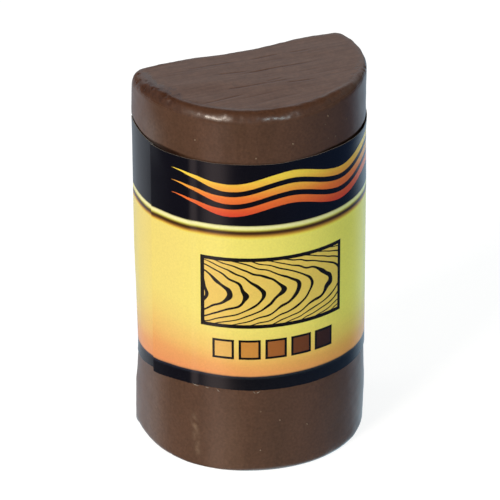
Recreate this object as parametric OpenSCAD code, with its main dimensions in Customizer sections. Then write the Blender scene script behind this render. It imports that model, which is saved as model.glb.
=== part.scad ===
// Furniture repair wax stick: a cast bar of hard filler wax with a half-round section, and a printed
// label that goes once round its middle and laps over its own end on the left of the round front.
// Millimetres, +Z up. The origin is under the middle of the bar, on the surface that it stands on.
// The round front faces -Y and the flat back faces +Y.

/* [Wax bar] */
// Width across the round front
bar_w = 30; // [26:0.1:34]
// Depth from the round front to the flat back
bar_d = 19; // [17:0.1:22]
// Height of the bar
bar_h = 51.3; // [49:0.1:60]
// Radius of the upright corners where the round meets the flat back
corner_r = 1; // [0.5:0.1:1.6]
// Radius of the top edge round the front
top_r = 1.2; // [0.4:0.1:2]
// Radius of the bottom edge round the front
base_r = 0.6; // [0.3:0.1:1.5]
// Radius of the two long edges of the flat back
back_r = 0.4; // [0.2:0.05:0.8]

/* [Label] */
// Height of the label
label_h = 31.8; // [24:0.1:36]
// Height of bare wax below the label
label_z = 12.1; // [8:0.1:15]
// Thickness of the adhesive coat
glue_t = 0.04; // [0.03:0.01:0.08]
// Thickness of the printed paper
paper_t = 0.1; // [0.06:0.01:0.2]
// Thickness of the clear film over the print
film_t = 0.05; // [0.03:0.01:0.1]

/* [Lap of the label] */
// Direction of the lap's free end, in degrees from +X towards the round front
lap_a = 193; // [186:1:225]
// Length of label that lies over its own other end
lap_len = 6; // [3:0.1:10]
// Gap between the hidden end and the step up to the lap
lap_gap = 0.1; // [0.05:0.05:0.5]

/* [Print on the label] */
// Height of the dark band along the top
header_h = 8.4; // [5:0.1:11]
// Height of the light line under the dark band
line_h = 0.8; // [0.4:0.1:1.5]
// Height of the brown line under the light one
shade_h = 0.6; // [0.3:0.1:1.2]
// Height of the dark band along the bottom
footer_h = 2; // [1:0.1:4]

/* [Colours] */
// Dark brown filler wax
wax_colour = "#5b4134"; // color
// Dark blue-black of both bands
band_colour = "#14141b"; // color
// Light yellow line
line_colour = "#ece58a"; // color
// Brown line
shade_colour = "#7a5526"; // color
// Yellow panel
panel_colour = "#f0e274"; // color
// Adhesive
glue_colour = "#e8dfc0"; // color
// Clear film
film_colour = "#f4f6fa"; // color

/* [Hidden] */
$fn = 128;
// How far cutters run past what they cut
overrun = 1;
// How far the corners' round stands past the faces that it joins, so that it crosses them cleanly
corner_past = 0.03;
// Turn that puts the spun bar's start behind the flat back, where it is cut away
spin_a = -90;
// How much of the light behind it the film lets through
film_clear_share = 0.75;

// The round front is struck from an axis that stands this far behind the origin
bar_r = bar_w / 2;
axis_y = bar_r - bar_d / 2;
// Distance from that axis to the flat back
flat_y = bar_d - bar_r;
// Centre of the right-hand corner, seen from that axis, and the direction in which it meets the round
corner_y = flat_y - corner_r + corner_past;
corner_x = sqrt(pow(bar_r - corner_r + corner_past, 2) - pow(corner_y, 2));
corner_a = atan2(corner_y, corner_x);

// The three layers of the label, from the wax outwards
paper_in = glue_t;
film_in = paper_in + paper_t;
label_t = film_in + film_t;
// Angle that a length along the round front takes up
function arc_a(len) = len / bar_r * 180 / PI;
// Direction in which the hidden end stops
hidden_a = lap_a + arc_a(lap_len);
// Direction of the step in a surface that stands off the wax by off, so that the layers nest in it
function step_a(off) = hidden_a + arc_a(lap_gap + off);
// Heights of the printed bands, from the bottom of the label up, each with its colour
panel_h = label_h - header_h - line_h - shade_h - footer_h;
print_bands = [
    [footer_h, band_colour],
    [panel_h, panel_colour],
    [shade_h, shade_colour],
    [line_h, line_colour],
    [header_h, band_colour]
];
// Height above the label's bottom edge at which band i starts
function band_z(i) = i == 0 ? 0 : band_z(i - 1) + print_bands[i - 1][0];
// Point at a distance from the bar's axis, in a direction
function polar(r, a) = [r * cos(a), r * sin(a)];

// What a round edge of radius r cuts from a square corner that points along +X and up or down
module edge_waste(r, up) {
    difference() {
        translate([0, up ? 0 : -r - overrun]) square(r + overrun);
        circle(r);
    }
}

// What the right-hand corner cuts from the plan, when the outline stands off the wax by off
module corner_waste(off) {
    r = corner_r + off;
    reach = 2 * r + overrun;
    translate([corner_x, corner_y]) difference() {
        polygon([[0, 0], polar(reach, corner_a), [reach, reach], [0, reach]]);
        circle(r);
    }
}

// What the flat back and both corners cut from a round of the bar's radius plus off
module back_waste(off) {
    side = bar_r + off + overrun;
    translate([-side, flat_y + off]) square([2 * side, side]);
    corner_waste(off);
    mirror([1, 0]) corner_waste(off);
}

// Plan of the half-round bar, standing off the wax by off
module half_round(off) {
    difference() {
        circle(bar_r + off);
        back_waste(off);
    }
}

// Upright section of the round bar, from its axis to its wall, with both edges rounded
module round_section() {
    difference() {
        square([bar_r, bar_h]);
        translate([bar_r - top_r, bar_h - top_r]) edge_waste(top_r, true);
        translate([bar_r - base_r, base_r]) edge_waste(base_r, false);
    }
}

// What rounds one long edge of the flat back, with the edge's arc centred at height z
module back_edge_waste(z, up) {
    side = bar_r + overrun;
    translate([-side, flat_y - back_r, z]) rotate([90, 0, 90])
        linear_extrude(2 * side) edge_waste(back_r, up);
}

// Cast bar: the round section is spun, then the flat back, its corners and its long edges are cut
module wax_stick() {
    color(wax_colour) translate([0, axis_y, 0]) difference() {
        rotate([0, 0, spin_a]) rotate_extrude() round_section();
        translate([0, 0, -overrun]) linear_extrude(bar_h + 2 * overrun) back_waste(0);
        back_edge_waste(bar_h - back_r, true);
        back_edge_waste(back_r, false);
    }
}

// Slice of the plan between two directions, from the bar's axis out past the label
module wedge(from_a, to_a) {
    reach = bar_r + 2 * label_t + overrun;
    polygon([[0, 0], polar(reach, from_a), polar(reach, to_a)]);
}

// Plan of one layer of the label, t thick, that stands off the wax by off. From its hidden end it goes
// round the back, the right-hand side and the front, steps up and lies over its hidden end.
module wrapped_layer(off, t) {
    under = bar_r + off;
    over = under + label_t;
    difference() {
        half_round(off + t);
        half_round(off);
        wedge(hidden_a, step_a(off));
    }
    difference() {
        intersection() {
            circle(over + t);
            wedge(lap_a, step_a(off + t));
        }
        circle(under);
        intersection() {
            circle(over);
            wedge(lap_a - arc_a(overrun), step_a(off));
        }
    }
}

// One layer of the label at its place on the bar, from z up to z + h above the label's bottom edge
module label_layer(off, t, z, h) {
    translate([0, axis_y, label_z + z]) linear_extrude(h) wrapped_layer(off, t);
}

// Adhesive coat, which holds the label to the wax and the lap to the label's hidden end
module label_adhesive() {
    color(glue_colour) label_layer(0, glue_t, 0, label_h);
}

// Printed paper, drawn in the heights of its printed bands
module label_paper() {
    for (i = [0 : len(print_bands) - 1])
        color(print_bands[i][1]) label_layer(paper_in, paper_t, band_z(i), print_bands[i][0]);
}

// Clear film over the print
module label_film() {
    color(film_colour, 1 - film_clear_share) label_layer(film_in, film_t, 0, label_h);
}

wax_stick();
label_adhesive();
label_paper();
label_film();
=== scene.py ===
"""Dresses the packed furniture repair wax stick for its studio picture.

The wax is one closed surface with a cut top, rounded edges and wear. The label is a thin sheet that goes
once round the wax and laps over its own end. Crumbs of wax and a few fibres of paper cling to them.
"""

import math

import bpy
import numpy as np
from bpy.props import FloatProperty, FloatVectorProperty, PointerProperty
from mathutils import Matrix, Vector


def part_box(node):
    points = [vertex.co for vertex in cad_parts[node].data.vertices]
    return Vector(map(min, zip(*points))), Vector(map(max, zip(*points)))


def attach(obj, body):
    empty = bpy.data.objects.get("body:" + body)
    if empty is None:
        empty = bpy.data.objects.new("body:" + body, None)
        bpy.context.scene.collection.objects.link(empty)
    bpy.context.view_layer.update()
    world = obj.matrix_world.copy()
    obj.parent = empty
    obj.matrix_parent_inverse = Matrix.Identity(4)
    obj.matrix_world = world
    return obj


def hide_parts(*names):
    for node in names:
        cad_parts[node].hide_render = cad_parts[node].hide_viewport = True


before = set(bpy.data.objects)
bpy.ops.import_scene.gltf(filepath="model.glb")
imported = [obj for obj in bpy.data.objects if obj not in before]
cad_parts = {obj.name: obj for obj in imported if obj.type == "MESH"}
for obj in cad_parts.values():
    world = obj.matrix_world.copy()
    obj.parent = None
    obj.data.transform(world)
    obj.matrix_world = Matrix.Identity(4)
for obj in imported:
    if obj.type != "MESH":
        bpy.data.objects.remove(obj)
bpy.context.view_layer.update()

bl_info = {
    "name": "Furniture repair wax stick",
    "version": (1, 0, 0),
    "blender": (4, 5, 0),
    "location": "3D View > Sidebar > Wax Stick",
    "description": "Builds a half-round wax stick with a lapped paper label",
    "category": "Object",
}

MM = 0.001
# Width of the camera's sensor, in millimetres
SENSOR = 36.0

# The CAD model's box and the sizes that everything here is worked out from
wax_low, wax_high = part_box("wax_stick")
film_low, film_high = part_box("label_film")
BAR_R = (wax_high.x - wax_low.x) / 2
BAR_H = wax_high.z
AXIS_Y = wax_low.y + BAR_R
FLAT_Y = wax_high.y - AXIS_Y
LABEL_LOW = film_low.z
LABEL_H = film_high.z - film_low.z

# Sockets of a Mix node that mixes colours
MIX_FACTOR, MIX_A, MIX_B, MIX_OUT = 0, 6, 7, 2


def linear(hex_colour):
    """Linear red, green and blue of an sRGB hex colour, as Blender's colour sockets take them."""
    parts = np.array([int(hex_colour[i:i + 2], 16) for i in (1, 3, 5)]) / 255
    curve = np.where(parts <= 0.04045, parts / 12.92, ((parts + 0.055) / 1.055) ** 2.4)
    return tuple(float(part) for part in curve)


def length_value(name, description, default):
    """A length property, in metres."""
    return FloatProperty(name=name, description=description, default=default, unit="LENGTH", precision=5)


def angle_value(name, description, degrees):
    """An angle property, given in degrees."""
    return FloatProperty(name=name, description=description, default=math.radians(degrees), unit="ROTATION")


def power_value(name, description, watts):
    """A lamp's power property."""
    return FloatProperty(name=name, description=description, default=watts, unit="POWER")


def colour_value(name, description, hex_colour):
    """A colour property, given as sRGB hex."""
    return FloatVectorProperty(
        name=name, description=description, default=linear(hex_colour), subtype="COLOR", min=0, max=1)


class WaxSettings(bpy.types.PropertyGroup):
    """Sizes and colours of the bare wax."""

    corner: length_value("Corner", "Radius of the upright corners beside the flat back", 1.0 * MM)
    rim_lumps: length_value("Rim lumps", "Height of the lumps on the rounded top edge", 0.03 * MM)
    wall_waves: length_value("Wall waves", "Height of the broad waves of the cast wall", 0.04 * MM)
    drag_depth: length_value("Drag lines", "Depth of the lines that the cutting blade left", 0.05 * MM)
    chip_depth: length_value("Chips", "Depth of the chips in the top edge", 0.1 * MM)
    seat: length_value("Seat", "How deep the label has pressed into the wax", 0.1 * MM)
    skin: colour_value("Skin", "Cast skin of the wax", "#593f31")
    skin_dark: colour_value("Skin, dark", "Darker clouds in the skin", "#523a2c")
    cut: colour_value("Cut face", "Dull cut face of the top", "#644839")
    # Fresh wax in the chips and drag lines; round the rim band the same dark colour is partly painted shade
    fresh: colour_value("Fresh wax", "Fresh wax in chips, in drag lines and on the rubbed edge", "#492c1d")
    bloom: colour_value("Bloom", "Pale smears and specks", "#8d7862")
    # Painted sheen: a pale grey that stands in for the grazing reflection on the left flank
    haze: colour_value("Haze", "Dry grey haze on the left flank", "#9a9a9a")
    # Painted shade: dark colour laid in the groove along the label's top edge and on the left of the rim
    grime: colour_value("Grime", "Dirt along the label's edge and on the left of the rim", "#26130b")


class LabelSettings(bpy.types.PropertyGroup):
    """Sizes of the wrapped label."""

    sheet: length_value("Sheet", "Thickness of the paper with its film", 0.14 * MM)
    proud: length_value("Proud", "How far the sheet's face stands out from the bare wall", 0.06 * MM)
    lap_angle: angle_value("Free end", "Direction of the lap's free end from +X", 193)
    lap: length_value("Lap", "Length of sheet that lies over its own hidden end", 6 * MM)
    gape: length_value("Gape", "How far the top edge gapes off the wax beside the lap", 0.14 * MM)
    lift: length_value("Lift", "How far the free end stands off the hidden end", 0.12 * MM)
    flare: length_value("Flare", "How far the top edge stands off on the right of the front", 0.14 * MM)
    bulge: length_value("Bulge", "How far the sheet bulges over the right-hand side", 0.09 * MM)


class PrintSettings(bpy.types.PropertyGroup):
    """Heights and colours of the print."""

    footer: length_value("Footer", "Height of the dark band along the bottom", 2.0 * MM)
    header: length_value("Header", "Height of the dark band along the top", 8.4 * MM)
    line: length_value("Line", "Height of the light line under the header", 0.73 * MM)
    shade: length_value("Shade", "Height of the brown line under the light one", 0.6 * MM)
    band: colour_value("Bands", "Blue-black of both bands", "#0a0914")
    panel: colour_value("Panel", "Warm yellow of the panel beside the lap", "#ead879")
    # Partly the print's own yellow, partly painted light that lifts and cools the right side
    lemon_and_painted_light: colour_value("Lemon", "Lemon yellow that the panel turns to on the right", "#faf76c")
    glow: colour_value("Glow", "Orange that the panel turns to at its foot", "#df925e")
    ink: colour_value("Ink", "Dark ink of the drawn board", "#14110e")
    wood: colour_value("Wood", "Tint inside the drawn board", "#dd9a45")
    motif_at: length_value("Motif", "From the free end to the middle of the drawn board", 17.5 * MM)
    motif_pitch: length_value("Motif pitch", "From one drawn board to the next round the stick", 44.5 * MM)
    board_w: length_value("Board, width", "Width of the drawn board", 19 * MM)
    board_h: length_value("Board, height", "Height of the drawn board", 9.5 * MM)
    board_up: length_value("Board, place", "Height of the drawn board's middle above the foot", 13.9 * MM)
    square: length_value("Squares", "Side of the shade squares", 2.5 * MM)
    square_pitch: length_value("Squares, pitch", "From one shade square to the next", 3.4 * MM)
    squares_up: length_value("Squares, place", "Height of the squares' middle above the foot", 5.8 * MM)
    waves_from: length_value("Waves, start", "From the free end to the start of the wavy lines", 3.6 * MM)
    waves_up: length_value("Waves", "Height of the middle wavy line above the foot", 27.6 * MM)


class StageSettings(bpy.types.PropertyGroup):
    """Camera and light."""

    azimuth: angle_value("Azimuth", "Direction of the camera round the stick", -23.658)
    elevation: angle_value("Elevation", "Height of the camera above the horizon", 26.961)
    roll: angle_value("Roll", "Turn of the camera about its own axis", -0.103)
    distance: length_value("Distance", "From the camera to the middle of the stick", 522.675 * MM)
    aside: length_value("Aside", "Shift of the camera to its right", 0.195 * MM)
    above: length_value("Above", "Shift of the camera along its up direction", -0.982 * MM)
    lens: FloatProperty(
        name="Lens", description="Focal length in millimetres", default=290.47, subtype="DISTANCE_CAMERA")
    key_power: power_value("Key", "Power of the small key lamp", 3.3)
    left_power: power_value("Left", "Power of the broad lamp on the left", 3.05)
    right_power: power_value("Right", "Power of the faint lamp on the right", 1.95)
    front_power: power_value("Front", "Power of the cool front lamp", 1.3)
    card: colour_value("Card", "White card under the stick, as it lights it", "#f3f3f3")
    beyond: colour_value("Beyond", "Grey floor beyond the card, as it lights the stick", "#959595")


# Meshes and shared shapes

class Outline:
    """Half-round plan of the stick, measured along its edge from the middle of the flat back.

    It runs left along the back, round the left corner, round the front and back round the right corner.
    Each point is a centre plus a radius in the direction of the outward normal.
    """

    def __init__(self, corner):
        self.corner = corner
        self.deep = FLAT_Y - corner
        self.side = math.sqrt((BAR_R - corner) ** 2 - self.deep ** 2)
        lean = math.atan2(self.deep, self.side)
        bend = corner * (math.pi / 2 - lean)
        front = BAR_R * (math.pi + 2 * lean)
        quarter = math.pi / 2
        self.lengths = np.cumsum([0, self.side, bend, front, bend, self.side])
        front_from, front_to = math.pi - lean, 2 * math.pi + lean
        self.angles = np.array([quarter, quarter, front_from, front_to, 5 * quarter, 5 * quarter])
        self.total = float(self.lengths[-1])

    def at(self, along):
        """Points and outward normals, as arrays of x and y, at these lengths along the edge."""
        along = np.mod(along, self.total)
        angle = np.interp(along, self.lengths, self.angles)
        normal = np.stack([np.cos(angle), np.sin(angle)], -1)
        on_round = (along > self.lengths[2]) & (along < self.lengths[3])
        slide = np.interp(along, self.lengths, [0, -self.side, -self.side, self.side, self.side, 0])
        centre = np.stack([np.where(on_round, 0, slide), np.where(on_round, 0, self.deep) + AXIS_Y], -1)
        radius = np.where(on_round, BAR_R, self.corner)
        return centre + radius[..., None] * normal, normal

    def facing(self, along):
        """Direction of the outward normal at these lengths, in degrees from 90 at the back round to 450."""
        return np.degrees(np.interp(np.mod(along, self.total), self.lengths, self.angles))

    def length_at(self, angle):
        """Length along the edge at which the round faces this direction."""
        return float(np.interp(angle, self.angles[1:5], self.lengths[1:5]))


def smooth(value, start, end):
    """Rises from 0 at start to 1 at end along an S curve."""
    share = np.clip((value - start) / (end - start), 0, 1)
    return share * share * (3 - 2 * share)


def bell(value, middle, width):
    """Bell curve of height 1."""
    return np.exp(-((value - middle) / width) ** 2)


def lumps(points, size, seed, waves=24):
    """Smooth relief of about plus or minus 1: a sum of plane waves of this size in seeded directions."""
    rng = np.random.default_rng(seed)
    direction = rng.normal(size=(waves, 3))
    direction /= np.linalg.norm(direction, axis=1, keepdims=True)
    pitch = size * rng.uniform(0.7, 1.5, (waves, 1))
    phase = rng.uniform(0, 2 * math.pi, waves)
    turns = points @ (direction / pitch).T * 2 * math.pi + phase
    return np.cos(turns).sum(-1) / math.sqrt(waves)


def ring_faces(rows, columns):
    """Quads between rings of points, each ring closed on itself."""
    row = np.arange(rows - 1)[:, None] * columns
    here = np.arange(columns)[None]
    there = np.roll(here, -1)
    corners = [row + here, row + columns + here, row + columns + there, row + there]
    return np.stack(corners, -1).reshape(-1, 4)


def pole_faces(pole, ring):
    """Triangles from one point to a ring."""
    return np.stack([np.full(len(ring), pole), ring, np.roll(ring, -1)], -1)


def closed_surface(rings):
    """Points and faces of rings that close at a point before the first and after the last ring."""
    rows, columns = rings.shape[:2]
    ends = [rings[0].mean(0), rings[-1].mean(0)]
    points = np.concatenate([rings.reshape(-1, 3), ends])
    first = np.arange(columns)
    last = first + (rows - 1) * columns
    faces = ring_faces(rows, columns).tolist()
    faces += pole_faces(rows * columns, first).tolist()
    faces += pole_faces(rows * columns + 1, last[::-1]).tolist()
    return points, faces


def joined(parts):
    """One list of points and one of faces from several surfaces."""
    points, faces = [], []
    for part_points, part_faces in parts:
        start = sum(len(each) for each in points)
        points.append(part_points)
        faces += [[start + corner for corner in face] for face in part_faces]
    return np.concatenate(points), faces


def add_piece(name, points, faces, materials, node_slot, *nodes):
    """Makes a smooth object at the origin, rides it on the stick and hides the CAD parts that it stands
    for.
    """
    mesh = bpy.data.meshes.new(name)
    mesh.from_pydata(points, [], faces)
    mesh.validate()
    mesh.shade_smooth()
    for material in materials:
        mesh.materials.append(material)
    piece = bpy.data.objects.new(name, mesh)
    bpy.context.scene.collection.objects.link(piece)
    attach(piece, "root")
    if nodes:
        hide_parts(*nodes)
    return piece


def store(piece, name, values):
    """Keeps one number for each point of a piece, for its material to read."""
    layer = piece.data.attributes.new(name, "FLOAT", "POINT")
    layer.data.foreach_set("value", np.asarray(values, np.float32).ravel())


# Materials

def new_tree(material):
    """Turns on the nodes of a material or a world and returns their tree, emptied."""
    material.use_nodes = True
    tree = material.node_tree
    tree.nodes.clear()
    return tree


def add(tree, kind, inputs=None, stops=None, out=0, **settings):
    """Adds a shader node and returns one of its outputs, or the node where out is None.

    Settings are its properties, stops a ramp's colours, and inputs its sockets by name or number, each a
    value or another node's output. A colour is given without its alpha.
    """
    made = tree.nodes.new("ShaderNode" + kind)
    for key, value in settings.items():
        setattr(made, key, value)
    for key, value in (inputs or {}).items():
        socket = made.inputs[key]
        if isinstance(value, bpy.types.NodeSocket):
            tree.links.new(value, socket)
        else:
            socket.default_value = (*value, 1) if socket.type == "RGBA" else value
    if stops:
        ramp = made.color_ramp.elements
        while len(ramp) < len(stops):
            ramp.new(1)
        for element, (place, colour) in zip(ramp, stops):
            element.position = place
            element.color = (*colour, 1)
    return made if out is None else made.outputs[out]


# Attributes of the wax that its material reads
WAX_MASKS = ("cut_face", "fresh", "grime", "smear", "haze")


def filler_wax(wax):
    """Hard filler wax, cast: a satin brown skin with faint clouds and pale specks, and a duller cut top."""
    material = bpy.data.materials.new("filler wax, cast, satin")
    tree = new_tree(material)
    place = add(tree, "TexCoord", out="Object")
    masks = [add(tree, "Attribute", attribute_name=name, out="Fac") for name in WAX_MASKS]
    on_cut, in_fresh_and_rim_shade, in_painted_shade, in_smear, in_painted_sheen = masks
    # Clouds about 4 mm across, drawn out down the wall as the mould leaves them
    drawn = add(tree, "Mapping", {"Vector": place, "Scale": (1, 1, 0.35)})
    clouds = add(tree, "TexNoise", {"Vector": drawn, "Scale": 1 / (4 * MM), "Detail": 4.0}, out="Fac")
    clouds = add(tree, "MapRange", {"Value": clouds, 1: 0.35, 2: 0.65})
    # Blade lines about 0.45 mm apart along X, and patches of 1.6 mm, on the cut top
    combed = add(tree, "Mapping", {"Vector": place, "Scale": (0.08, 1, 1)})
    comb = add(tree, "TexNoise", {"Vector": combed, "Scale": 1 / (0.45 * MM), "Detail": 4.0}, out="Fac")
    lined = add(tree, "MapRange", {"Value": comb, 1: 0.32, 2: 0.58, 3: 0.5, 4: 1.0})
    patchy = add(tree, "TexNoise", {"Vector": place, "Scale": 1 / (1.6 * MM), "Detail": 3.0}, out="Fac")
    patchy = add(tree, "MapRange", {"Value": patchy, 1: 0.35, 2: 0.6, 3: 0.66, 4: 1.0})
    dry = add(tree, "Math", {0: lined, 1: patchy}, operation="MULTIPLY")
    cut = add(tree, "Mix", {MIX_FACTOR: dry, MIX_A: wax.fresh, MIX_B: wax.cut},
              data_type="RGBA", out=MIX_OUT)
    # Pale specks 0.3 mm across in one cell of seven, with cells 2.2 mm wide, and the smear
    cells = add(tree, "TexVoronoi", {"Vector": place, "Scale": 1 / (2.2 * MM)}, out=None)
    cell_pick = add(tree, "SeparateColor", {0: cells.outputs["Color"]})
    picked = add(tree, "Math", {0: cell_pick, 1: 0.86}, operation="GREATER_THAN")
    dot = add(tree, "MapRange", {"Value": cells.outputs["Distance"], 1: 0.075, 2: 0.03})
    speck = add(tree, "Math", {0: picked, 1: dot}, operation="MULTIPLY")
    pale = add(tree, "Math", {0: speck, 1: in_smear}, operation="MAXIMUM")
    pale = add(tree, "Math", {0: pale, 1: 0.4}, operation="MULTIPLY")
    # The colours that lie over the dark of the skin, from the inside out, among them painted shade and a
    # painted grey sheen
    colour = wax.skin_dark
    for share, coat in (
            (clouds, wax.skin), (on_cut, cut), (in_fresh_and_rim_shade, wax.fresh), (in_painted_shade, wax.grime),
            (pale, wax.bloom), (in_painted_sheen, wax.haze)):
        colour = add(tree, "Mix", {MIX_FACTOR: share, MIX_A: colour, MIX_B: coat},
                     data_type="RGBA", out=MIX_OUT)
    # Fine light and dark grain of 0.35 mm
    fine = add(tree, "TexNoise", {"Vector": place, "Scale": 1 / (0.35 * MM), "Detail": 2.0}, out="Fac")
    fine = add(tree, "MapRange", {"Value": fine, 1: 0.25, 2: 0.75, 3: 0.82, 4: 1.18})
    colour = add(tree, "Mix", {MIX_FACTOR: 1.0, MIX_A: colour, MIX_B: fine},
                 data_type="RGBA", blend_type="MULTIPLY", out=MIX_OUT)
    # The cut top is duller than the cast skin, and the rubbed edge is smoother than both
    dull = add(tree, "MapRange", {"Value": on_cut, 3: 0.3, 4: 0.42})
    rough = add(tree, "Math", {0: in_fresh_and_rim_shade, 1: -0.06, 2: dull}, operation="MULTIPLY_ADD")
    # Relief of a 0.5 mm grain on the skin, and of the blade lines on the top
    grain = add(tree, "TexNoise", {"Vector": place, "Scale": 1 / (0.5 * MM), "Detail": 2.0}, out="Fac")
    relief = add(tree, "Mix", {MIX_FACTOR: on_cut, 2: grain, 3: comb}, data_type="FLOAT")
    bump = add(tree, "Bump", {"Height": relief, "Strength": 0.35, "Distance": 0.02 * MM})
    shader = add(tree, "BsdfPrincipled", {
        "Base Color": colour, "Roughness": rough, "IOR": 1.44, "Specular IOR Level": 0.48, "Normal": bump})
    add(tree, "OutputMaterial", {"Surface": shader}, out=None)
    return material


# Half width of the board's outline and of the squares' outlines, in millimetres
BOARD_LINE = 0.26
SQUARE_LINE = 0.16
# Bend of the board's grain lines, and in millimetres their wander, half pitch and half width
GRAIN_BEND, GRAIN_WANDER, GRAIN_HALF_PITCH, GRAIN_LINE = 0.42, 3.2, 1.15, 0.3
# Shades of the squares
SHADES = ("#e2b25f", "#c98a3c", "#a2602a", "#6f3d1e", "#3a2116")
# Wavy lines, in millimetres: length and height of a wave, half the pitch from line to line, length of the
# tapered ends, half the height of all three lines and half the width of one
WAVE, WAVE_HEIGHT, WAVE_HALF_PITCH, WAVE_TAPER, WAVE_SET, WAVE_LINE = 15.5, 0.75, 0.85, 7, 2.4, 0.5
# How far before the hidden end the wavy lines stop, and a height that no print reaches, in millimetres
WAVES_STOP = 12
FAR_UP = 100


def from_rectangle(tree, spot, half_width, half_height):
    """Distance to a rectangle round the origin: max(|x| - half width, |y| - half height)."""
    beside = add(tree, "VectorMath", {0: spot}, operation="ABSOLUTE")
    past = add(tree, "VectorMath", {0: beside, 1: (half_width, half_height, 0)}, operation="SUBTRACT")
    aside, above = add(tree, "SeparateXYZ", {0: past}, out=None).outputs[:2]
    return add(tree, "Math", {0: aside, 1: above}, operation="MAXIMUM")


def drawn_board(tree, spot, ink):
    """Print of a plain board: an outline round arched grain lines. Returns masks of its ink and its wood.

    The outline is where the distance to the board's rectangle is near 0. The grain lines are parabolas a
    pitch apart, x = n * pitch - bend * y * y, which noise makes wander.
    """
    middle = (ink.motif_at / MM, ink.board_up / MM, 0)
    local = add(tree, "VectorMath", {0: spot, 1: middle}, operation="SUBTRACT")
    away = from_rectangle(tree, local, ink.board_w / MM / 2, ink.board_h / MM / 2)
    frame_ink = add(tree, "Math", {0: away, 1: 0.0, 2: BOARD_LINE}, operation="COMPARE")
    inside = add(tree, "Math", {0: away, 1: 0.0}, operation="LESS_THAN")
    x, y = add(tree, "SeparateXYZ", {0: local}, out=None).outputs[:2]
    bowed = add(tree, "Math", {0: y, 1: y}, operation="MULTIPLY")
    arch = add(tree, "Math", {0: bowed, 1: GRAIN_BEND, 2: x}, operation="MULTIPLY_ADD")
    wander = add(tree, "TexNoise", {"Vector": local, "Scale": 0.28, "Detail": 1.0}, out="Fac")
    grain = add(tree, "Math", {0: wander, 1: GRAIN_WANDER, 2: arch}, operation="MULTIPLY_ADD")
    ring = add(tree, "Math", {0: grain, 1: GRAIN_HALF_PITCH}, operation="PINGPONG")
    line = add(tree, "Math", {0: ring, 1: GRAIN_LINE}, operation="LESS_THAN")
    line = add(tree, "Math", {0: line, 1: inside}, operation="MULTIPLY")
    drawn = add(tree, "Math", {0: line, 1: frame_ink}, operation="MAXIMUM")
    return drawn, inside


def shade_squares(tree, spot, ink):
    """Print of five plain squares in a row. Returns masks of their outlines and fills, and their colours.

    The row's places are folded to one pitch, and each square is drawn as the board is.
    """
    pitch, side = ink.square_pitch / MM, ink.square / MM
    middle = (ink.motif_at / MM, ink.squares_up / MM, 0)
    local = add(tree, "VectorMath", {0: spot, 1: middle}, operation="SUBTRACT")
    reach = (pitch / 2, FAR_UP, 1)
    back = (-pitch / 2, -FAR_UP, -1)
    half_row = len(SHADES) / 2 * pitch
    folded = add(tree, "VectorMath", {0: local, 1: reach, 2: back}, operation="WRAP")
    away = from_rectangle(tree, folded, side / 2, side / 2)
    x = add(tree, "SeparateXYZ", {0: local})
    in_row = add(tree, "Math", {0: x, 1: 0.0, 2: half_row}, operation="COMPARE")
    edge = add(tree, "Math", {0: away, 1: 0.0, 2: SQUARE_LINE}, operation="COMPARE")
    edge = add(tree, "Math", {0: edge, 1: in_row}, operation="MULTIPLY")
    fill = add(tree, "Math", {0: away, 1: 0.0}, operation="LESS_THAN")
    fill = add(tree, "Math", {0: fill, 1: in_row}, operation="MULTIPLY")
    share = add(tree, "MapRange", {"Value": x, 1: -half_row, 2: half_row})
    stops = [(i / len(SHADES), linear(shade)) for i, shade in enumerate(SHADES)]
    tones = add(tree, "ValToRGB", {0: share}, stops, out=None)
    tones.color_ramp.interpolation = "CONSTANT"
    return edge, fill, tones.outputs[0]


def wavy_lines(tree, spot, ink, length):
    """Print of three wavy lines along the header that taper at both ends. Returns their mask.

    Each line is where y - height * sin(2 pi x / wave) is within half a line of a multiple of the pitch.
    """
    x, y = add(tree, "SeparateXYZ", {0: spot}, out=None).outputs[:2]
    turn = add(tree, "Math", {0: x, 1: 2 * math.pi / WAVE}, operation="MULTIPLY")
    swing = add(tree, "Math", {0: turn}, operation="SINE")
    wave = add(tree, "Math", {0: swing, 1: -WAVE_HEIGHT, 2: y}, operation="MULTIPLY_ADD")
    height = add(tree, "Math", {0: wave, 1: ink.waves_up / MM}, operation="SUBTRACT")
    near = add(tree, "Math", {0: height, 1: WAVE_HALF_PITCH}, operation="PINGPONG")
    in_set = add(tree, "Math", {0: height, 1: 0.0, 2: WAVE_SET}, operation="COMPARE")
    start, end = ink.waves_from / MM, length / MM - ink.waves_from / MM - WAVES_STOP
    far = add(tree, "Math", {0: x, 1: (start + end) / 2}, operation="SUBTRACT")
    far = add(tree, "Math", {0: far}, operation="ABSOLUTE")
    half = (end - start) / 2
    half_line = add(tree, "MapRange", {"Value": far, 1: half, 2: half - WAVE_TAPER, 3: 0.0, 4: WAVE_LINE})
    line = add(tree, "Math", {0: near, 1: half_line}, operation="LESS_THAN")
    return add(tree, "Math", {0: line, 1: in_set}, operation="MULTIPLY")


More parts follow.
